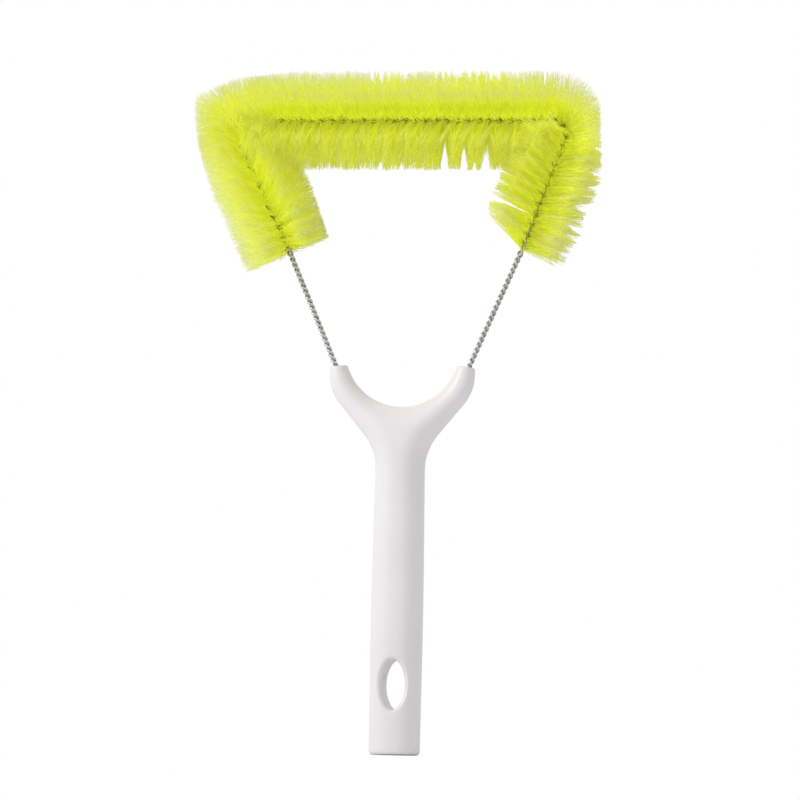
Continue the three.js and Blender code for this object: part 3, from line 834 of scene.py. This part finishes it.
def left_style(s, heading):
    front = smoothstep(np.sin(heading), -0.1, 1)
    outside = smoothstep(np.cos(heading), 0.2, 0.8)
    end = smoothstep(-s, bristle_end - LEFT_END, bristle_end)
    from_bend = s + bend_end
    pale = lerp(*LEFT_PALE, outside) + LEFT_END_PALE * end
    gleam = lerp(*LEFT_GLEAM, smoothstep(from_bend, -LEFT_CORNER_LENGTH, 0))
    return Style(
        gather=np.full_like(s, SMOOTH_GATHER),
        comb=lerp(lerp(*LEFT_COMB, front), lerp(*LEFT_END_COMB, front), end),
        reach=BRUSH_RADIUS + CORNER_GROWTH * smoothstep(from_bend, *LEFT_CORNER_GROWS) * outside,
        ragged=np.full_like(s, LEFT_RAGGED),
        soft=lerp(*LEFT_SOFT, outside),
        pale=np.minimum(pale, LEFT_MOST_PALE),
        light=LEFT_LIGHT + outside * gleam,
        rise=np.zeros_like(s),
    )


def right_style(s, heading):
    front = smoothstep(np.sin(heading), 0, 1)
    inside = smoothstep(-np.cos(heading), 0.2, 0.8)
    outside = smoothstep(np.cos(heading), 0.3, 0.9)
    from_bend = s - bend_end
    past = np.maximum(from_bend - LAST_CLUMP, 0)
    clump = smoothstep(past, *CLUMP_GROWS) * inside
    fray = smoothstep(from_bend, *FRAYED) * outside
    swept = RIGHT_COMB * (smoothstep(from_bend, *COMBED_ON) - smoothstep(from_bend, *COMBED_BACK))
    drawn = INNER_COMB * swept * smoothstep(from_bend, *INNER_COMB_GROWS) - CLUMP_DRAW * past
    pale = lerp(*RIGHT_PALE, outside) + CLUMP_PALE * clump
    corner = outside * (1 - smoothstep(from_bend, 0, RIGHT_CORNER_LENGTH))
    return Style(
        gather=lerp(*RIGHT_GATHER, front) * lerp(1, INNER_GATHER_SHARE, inside),
        comb=lerp(swept, drawn, inside),
        reach=BRUSH_RADIUS - fray,
        ragged=lerp(*RIGHT_RAGGED, outside) + FRAY_RAGGED * fray,
        soft=lerp(*RIGHT_SOFT, outside),
        pale=np.maximum(pale, smoothstep(from_bend, *RIGHT_END_PALES)),
        light=lerp(*RIGHT_LIGHT, outside) + RIGHT_CORNER_LIGHT * corner + CLUMP_LIGHT * clump,
        rise=lerp(*RIGHT_RISE, outside),
    )


# Handle: an oval section that rolls off towards the outline and the crotch of the fork

tip_drop = tan(TIP_TILT) * TIP_WIDTH / 2
outer_tip = np.array([FORK_SPAN / 2, tip_height - tip_drop])
inner_tip = np.array([FORK_SPAN / 2 - TIP_WIDTH, tip_height + tip_drop])
shoulder = np.array([FORK_SPAN / 2, GRIP_LENGTH + FLARE_RISE])


def rounded_line(corners, step=0.04):
    """Points along a line of corners, each rounded by an arc that reaches along the lines beside it."""
    points = [np.array(corners[0][0], float)]

    def run_to(end):
        count = max(1, int(np.linalg.norm(end - points[-1]) / step))
        points.extend(np.linspace(points[-1], end, count + 1)[1:])

    for i in range(1, len(corners) - 1):
        at, reach = np.array(corners[i][0], float), corners[i][1]
        back = unit(np.array(corners[i - 1][0]) - at)
        ahead = unit(np.array(corners[i + 1][0]) - at)
        half = acos(np.clip(back @ ahead, -1, 1)) / 2
        centre = at + unit(back + ahead) * reach / cos(half)
        radius = reach * tan(half)
        enter, leave = at + back * reach, at + ahead * reach
        run_to(enter)
        start = atan2(*(enter - centre)[::-1])
        sweep = wrapped(atan2(*(leave - centre)[::-1]) - start)
        count = max(2, int(abs(sweep) * radius / step))
        turn = start + sweep * np.arange(1, count + 1) / count
        points.extend(centre + radius * np.stack([np.cos(turn), np.sin(turn)], -1))
    run_to(np.array(corners[-1][0], float))
    return np.array(points)


outline = rounded_line([
    ((BUTT_WIDTH / 2, 0), 0),
    ((GRIP_WIDTH / 2, SWELL_HEIGHT), SWELL_REACH),
    ((NECK_WIDTH / 2, GRIP_LENGTH), FLARE_REACH),
    (shoulder, SHOULDER_SHARE * np.linalg.norm(shoulder - outer_tip)),
    (outer_tip, 0),
])
outline_run = np.concatenate([[0], np.cumsum(np.linalg.norm(np.diff(outline, axis=0), axis=1))])
outline_run /= outline_run[-1]


def outline_at(share):
    return np.array([np.interp(share, outline_run, outline[:, axis]) for axis in (0, 1)])


def outline_share(height):
    return float(np.interp(height, outline[:, 1], outline_run))


crotch_height = tip_height - CROTCH_DEPTH
crotch_rise = inner_tip[1] - crotch_height
crotch_radius = (inner_tip[0] ** 2 + crotch_rise ** 2) / (2 * crotch_rise)
crotch_centre = np.array([0, crotch_height + crotch_radius])
crotch_sweep = atan2(inner_tip[0], crotch_centre[1] - inner_tip[1])
roll_width = NECK_WIDTH / 2


def roll_off(distance):
    return np.sqrt(1 - (1 - np.clip(np.asarray(distance) / roll_width, 0, 1)) ** 2)


def half_depth(points):
    """Half the handle's depth at points across and up."""
    points = np.asarray(points, float).reshape(-1, 2)
    nearest = np.array([np.sqrt(((outline - p) ** 2).sum(1).min()) for p in points])
    tip_body = TIP_DEPTH / 2 / float(roll_off(TIP_WIDTH / 2)) ** 2
    body = lerp(GRIP_DEPTH / 2, tip_body, smoothstep(points[:, 1], GRIP_LENGTH, tip_height))
    from_crotch = np.linalg.norm(points - crotch_centre, axis=1) - crotch_radius
    return body * roll_off(nearest) * roll_off(from_crotch)


def handle_row(inner, outer, crowding, columns, inset=0.0, pivot=0.0, lift=0.0):
    """Places and half depths from an inner to an outer point. crowding is 0 where the row starts in the
    middle and 1 where it starts on the crotch. inset, pivot and lift draw it in and up round an end."""
    inner, outer = np.asarray(inner, float), np.asarray(outer, float)
    span = outer - inner
    rise = unit(np.array([-span[1], span[0]])) * lift
    reach = np.linalg.norm(span) * (1 - pivot)
    j = np.arange(columns + 1) / columns
    share = lerp(np.sin(np.pi / 2 * j), (1 - np.cos(np.pi * j)) / 2, crowding)
    drawn = pivot + (share - pivot) * (1 - inset / reach)
    depth = half_depth(inner + span * share[:, None])
    depth[-1] = 0
    if crowding == 1:
        depth[0] = 0
    depth *= 1 - inset / depth.max()
    return inner + span * drawn[:, None] + rise, depth


def handle_rows(columns, round_steps=7, grip_rows=44, neck_rows=34, arm_rows=44):
    """Rows of one half of the handle, from the butt's rounded edge to the rounded tip of the arm."""
    rows = []

    def level(height, inset=0.0):
        rows.append(handle_row((0, height), outline_at(outline_share(height)), 0, columns, inset))

    for i in range(round_steps):
        turn = pi / 2 * i / round_steps
        level(BUTT_ROUND * (1 - cos(turn)), BUTT_ROUND * (1 - sin(turn)))
    neck_start = GRIP_LENGTH - FLARE_REACH
    for i in range(grip_rows):
        level(lerp(BUTT_ROUND, neck_start, i / grip_rows))
    crotch = np.array([0, crotch_height])
    foot = outline[np.argmin(np.linalg.norm(outline - crotch, axis=1))]
    neck_share, foot_share = outline_share(neck_start), outline_share(foot[1])
    for i in range(neck_rows):
        part = i / neck_rows
        height = lerp(neck_start, crotch_height, sin(pi / 2 * part))
        outer = outline_at(lerp(neck_share, foot_share, part))
        rows.append(handle_row((0, height), outer, part ** 2, columns))

    def arm(part, **extra):
        sweep = crotch_sweep * part
        inner = crotch_centre + crotch_radius * np.array([sin(sweep), -cos(sweep)])
        rows.append(handle_row(inner, outline_at(lerp(foot_share, 1, part)), 1, columns, **extra))

    for i in range(arm_rows + 1):
        arm(i / arm_rows)
    for i in range(1, round_steps + 1):
        turn = pi / 2 * i / round_steps
        arm(1, pivot=0.5, inset=TIP_ROUND * (1 - cos(turn)), lift=TIP_ROUND * sin(turn))
    return rows


def handle_body(columns=26):
    """The handle without its hole and sockets: four quarters welded together and closed."""
    places, depths = map(np.array, zip(*handle_rows(columns)))
    count = columns + 1
    a = np.arange(len(places) - 1)[:, None] * count + np.arange(columns)
    quads = np.stack([a, a + 1, a + count + 1, a + count], -1).reshape(-1, 4)
    points, faces = [], []
    for side in (-1, 1):
        for face in (-1, 1):
            faces.append((quads if side * face < 0 else quads[:, ::-1]) + len(points) * depths.size)
            quarter = np.stack([side * places[..., 0], face * depths, places[..., 1]], -1)
            points.append(quarter.reshape(-1, 3))
    return closed(make_object("handle_shell", np.concatenate(points), np.concatenate(faces)), weld=True)


def socket_cutter(name, side, sides=32):
    ends = np.array([entry_end - bore_radius, entry_end + SOCKET_DEPTH]) * side
    place, along, outward, sideways = loop_frame(ends)
    return ring_solid(name, round_rings(place, outward, sideways, bore_radius, sides))


def hole_cutter(name, sides=72, steps=7):
    """The oval hang hole, flared by a rounded rim that follows the handle's front and back."""
    turn = 2 * pi * np.arange(sides) / sides
    circle = np.stack([np.sin(turn), np.cos(turn)], -1)

    def ring(flare):
        return circle * (HOLE_SIZE / 2 + flare) + np.array([0, HOLE_HEIGHT])

    rim = ring(HOLE_RIM)
    rim_depth = half_depth(np.stack([np.abs(rim[:, 0]), rim[:, 1]], -1))
    rings = []
    for i in range(steps + 1):
        bend = pi / 2 * i / steps
        flat = ring(HOLE_RIM * (1 - cos(bend)))
        depth = rim_depth - HOLE_RIM * (1 - sin(bend))
        rings.append(np.stack([flat[:, 0], depth, flat[:, 1]], -1))
    rings.append(np.stack([rim[:, 0], np.full(sides, GRIP_DEPTH), rim[:, 1]], -1))
    front = [r * np.array([1, -1, 1]) for r in rings[::-1]]
    return ring_solid(name, front + rings)


def make_handle():
    body = handle_body()
    cutters = [socket_cutter("cut_left", -1), socket_cutter("cut_right", 1), hole_cutter("cut_hole")]
    for cutter in cutters:
        change = body.modifiers.new("cut", "BOOLEAN")
        change.operation = "DIFFERENCE"
        change.solver = "EXACT"
        change.object = cutter
    bpy.context.view_layer.update()
    graph = bpy.context.evaluated_depsgraph_get()
    mesh = bpy.data.meshes.new_from_object(body.evaluated_get(graph))
    mesh.name = "handle_white"
    mesh.shade_smooth()
    mesh.set_sharp_from_angle(angle=SHARP_ANGLE)
    thing = link_object("handle_white", mesh)
    for extra in [body] + cutters:
        bpy.data.objects.remove(extra)
    return thing


# Materials

def add(tree, kind, inputs=None, **settings):
    """Outputs of a new node with its settings. Each input is linked to a socket or set to a value."""
    node = tree.nodes.new("ShaderNode" + kind)
    for name, value in settings.items():
        setattr(node, name, value)
    for key, value in (inputs or {}).items():
        if isinstance(value, bpy.types.NodeSocket):
            tree.links.new(value, node.inputs[key])
        else:
            node.inputs[key].default_value = value
    return node.outputs


def empty_tree(owner):
    """The node tree of a material or world, without nodes."""
    owner.use_nodes = True
    owner.node_tree.nodes.clear()
    return owner.node_tree


def noise(tree, vector, scale, detail=3.0, roughness=0.5):
    inputs = {"Vector": vector, "Scale": scale, "Detail": detail, "Roughness": roughness}
    return add(tree, "TexNoise", inputs)["Fac"]


def ramp(tree, value, stops):
    colour = add(tree, "ValToRGB", {"Fac": value})["Color"]
    elements = colour.node.color_ramp.elements
    while len(elements) < len(stops):
        elements.new(0.5)
    for element, (place, tint) in zip(elements, stops):
        element.position = place
        element.color = (*tint, 1)
    return colour


def spread_value(tree, value, low, high):
    return add(tree, "MapRange", {"Value": value, "To Min": low, "To Max": high})["Result"]


# Scales a colour's value by a level, such as the filaments' painted light and shade
def shaded_and_toned(tree, colour, level):
    return add(tree, "HueSaturation", {"Value": level, "Color": colour})["Color"]


def computed(tree, operation, *inputs):
    return add(tree, "Math", dict(enumerate(inputs)), operation=operation)["Value"]


def mixed(tree, share, first, second):
    return add(tree, "MixShader", {"Fac": share, 1: first, 2: second})["Shader"]


def bump(tree, height, strength, distance):
    inputs = {"Height": height, "Strength": strength, "Distance": distance}
    return add(tree, "Bump", inputs)["Normal"]


def white_plastic():
    material = bpy.data.materials.new("white_plastic")
    tree = empty_tree(material)
    place = add(tree, "TexCoord")["Object"]
    shader = add(tree, "BsdfPrincipled", {
        "Base Color": ramp(tree, noise(tree, place, scale=38, detail=4), PLASTIC_TINTS),
        "Roughness": spread_value(tree, noise(tree, place, scale=260, detail=5), *PLASTIC_ROUGHNESS),
        "Normal": bump(tree, noise(tree, place, scale=2600), strength=0.06, distance=0.0002),
    })
    add(tree, "OutputMaterial", {"Surface": shader["BSDF"]})
    return material


def steel_wire():
    """Bright drawn wire, dulled where it runs among the filaments and there turned dark lime: painted
    reflection of the filaments and painted shade.
    """
    material = bpy.data.materials.new("steel_wire")
    tree = empty_tree(material)
    place = add(tree, "TexCoord")["Object"]
    bare = ramp(tree, noise(tree, place, scale=420, detail=5, roughness=0.6), STEEL_TINTS)
    # Painted reflection and shade: from where the bristles start, the steel's colour turns to dark lime
    # over a short rise
    height = add(tree, "SeparateXYZ", {"Vector": place})["Z"]
    fade = {"Value": height, "From Min": bristle_z * MM, "From Max": (bristle_z + LIME_FADE) * MM}
    among = add(tree, "MapRange", fade)["Result"]
    tint = {"Factor": among, "A": bare, "B": PAINTED_LIME_REFLECTION_AND_SHADE}
    polish = spread_value(tree, noise(tree, place, scale=900, detail=4), *STEEL_ROUGHNESS)
    shader = add(tree, "BsdfPrincipled", {
        "Base Color": add(tree, "Mix", tint, data_type="RGBA")["Result"],
        "Metallic": 1.0,
        "Roughness": computed(tree, "MULTIPLY_ADD", among, DULLED_AMONG, polish),
        "Normal": bump(tree, noise(tree, place, scale=3200), strength=0.12, distance=0.0001),
    })
    add(tree, "OutputMaterial", {"Surface": shader["BSDF"]})
    return material


def lime_filament():
    """Thin filaments that let light through, with a glow that is painted light. The texture's u sets their
    painted light and shade, with some random tone, and its v their colour, with painted shade at the roots.
    """
    material = bpy.data.materials.new("lime_filament")
    tree = empty_tree(material)
    uv = add(tree, "UVMap", uv_map="OFBake")["UV"]
    parts = add(tree, "SeparateXYZ", {"Vector": uv})
    shade, grade = parts["X"], parts["Y"]
    # The shade u sets a level of painted light and shade, with some random tone, for the colour and the
    # glow
    level = spread_value(tree, shade, *FILAMENT_SHADE_LEVELS)
    colour = shaded_and_toned(tree, ramp(tree, grade, FILAMENT_COLOURS), level)
    scatter = add(tree, "CombineXYZ", {"X": shade})["Vector"]
    # The emission is painted light, a glow standing in for light passing through and among the filaments
    shader = add(tree, "BsdfPrincipled", {
        "Base Color": colour,
        "Roughness": spread_value(tree, noise(tree, scatter, scale=60, detail=2), *FILAMENT_ROUGHNESS),
        "Specular IOR Level": 0.3,
        "Emission Color": shaded_and_toned(tree, ramp(tree, grade, FILAMENT_GLOW), level),
        "Emission Strength": GLOW_STRENGTH,
    })
    through = add(tree, "BsdfTranslucent", {"Color": colour})
    body = mixed(tree, THROUGH_SHARE, shader["BSDF"], through["BSDF"])
    in_shadow = add(tree, "LightPath")["Is Shadow Ray"]
    clearness = computed(tree, "MULTIPLY", in_shadow, SHADOW_CLEARNESS)
    clear = add(tree, "BsdfTransparent", {"Color": SHADOW_TINT})
    add(tree, "OutputMaterial", {"Surface": mixed(tree, clearness, body, clear["BSDF"])})
    return material


# Pieces

plastic = white_plastic()
steel = steel_wire()
lime = lime_filament()


def place_piece(thing, material, slot, *nodes):
    thing.data.materials.clear()
    thing.data.materials.append(material)
    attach(thing, "root")
    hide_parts(*nodes)


place_piece(make_handle(), plastic, "white_plastic", "handle")
place_piece(wire_strand("wire_a", 0.0), steel, "steel_wire", "wire_strand_a")
place_piece(wire_strand("wire_b", pi), steel, "steel_wire", "wire_strand_b")

Region = namedtuple("Region", "node style trims crowding")
bar = Region("top_bristles", bar_style, (HEAD_TRIM,), 1)
left_leg = Region("left_bristles", left_style, (HEAD_TRIM, LEFT_TRIM), LEFT_CROWDING)
right_leg = Region("right_bristles", right_style, (HEAD_TRIM, RIGHT_TRIM), 1)

# Stretches of filaments: name, region, span along the loop, how far tips may pass either end, seed
half_bar = bend_middle / 2
left_end = -bristle_end - LEFT_OVERRUN
stretches = (
    ("bar_filaments_far_left", bar, (-bend_middle, -half_bar), (12, 9), 11),
    ("bar_filaments_left", bar, (-half_bar, 0), (9, 9), 12),
    ("bar_filaments_right", bar, (0, half_bar), (9, 9), 13),
    ("bar_filaments_far_right", bar, (half_bar, bend_middle), (9, 12), 14),
    ("left_filaments_upper", left_leg, (-leg_middle, -bend_middle), (9, 12), 15),
    ("left_filaments_lower", left_leg, (left_end, -leg_middle), (0.8, 9), 16),
    ("right_filaments_upper", right_leg, (bend_middle, leg_middle), (12, 9), 17),
    ("right_filaments_lower", right_leg, (leg_middle, bristle_end), (12, 1.5), 18),
)
for name, region, span, overrun, seed in stretches:
    place_piece(filaments(name, region, span, overrun, seed), lime, "lime_filament", region.node)


# Stage: a pale floor that shows from above only, and a white surround

def make_stage():
    mesh = bpy.data.meshes.new("floor")
    corners = [(x * FLOOR_REACH, y * FLOOR_REACH, 0) for x, y in ((-1, -1), (1, -1), (1, 1), (-1, 1))]
    mesh.from_pydata(corners, [], [(0, 1, 2, 3)])
    floor = link_object("floor", mesh)
    floor.location.z = -FLOOR_DROP
    material = bpy.data.materials.new("floor")
    tree = empty_tree(material)
    matt = add(tree, "BsdfDiffuse", {"Color": FLOOR_COLOUR})["BSDF"]
    clear = add(tree, "BsdfTransparent")["BSDF"]
    from_below = add(tree, "NewGeometry")["Backfacing"]
    add(tree, "OutputMaterial", {"Surface": mixed(tree, from_below, matt, clear)})
    mesh.materials.append(material)


def make_world():
    """White where it is seen, reflected or seen through, and dimmer as a light."""
    scene.world = bpy.data.worlds.new("surround")
    tree = empty_tree(scene.world)
    path = add(tree, "LightPath")
    seen = computed(tree, "MAXIMUM", path["Is Camera Ray"], path["Is Transmission Ray"])
    shown = computed(tree, "MAXIMUM", seen, path["Is Glossy Ray"])
    whites = [add(tree, "Background", {"Color": WHITE, "Strength": strength}) for strength in WORLD_LIGHT]
    add(tree, "OutputWorld", {"Surface": mixed(tree, shown, *(white["Background"] for white in whites))})


def aim(thing, eye, target, roll=0.0):
    back = (Vector(eye) - Vector(target)).normalized()
    right = Vector((0, 0, 1)).cross(back).normalized()
    up = back.cross(right)
    turned_right = right * cos(roll) + up * sin(roll)
    turned_up = up * cos(roll) - right * sin(roll)
    turn = Matrix((turned_right, turned_up, back)).transposed()
    thing.matrix_world = Matrix.Translation(eye) @ turn.to_4x4()


def make_camera():
    data = bpy.data.cameras.new("camera")
    data.angle = 2 * atan(IMAGE_PIXELS / 2 / PIXELS_PER_METRE / VIEW_DISTANCE)
    data.clip_start = CLIP_START
    scene.camera = link_object("camera", data)
    aim(scene.camera, np.array(VIEW_TARGET) + to_viewer * VIEW_DISTANCE, VIEW_TARGET, VIEW_ROLL)


def add_lamp(name, eye, target, diameter, power):
    data = bpy.data.lights.new(name, "AREA")
    data.shape = "DISK"
    data.size = diameter
    data.energy = power
    aim(link_object(name, data), eye, target)


make_stage()
make_world()
make_camera()
for lamp in LAMPS:
    add_lamp(*lamp)

scene.view_settings.view_transform = "Standard"
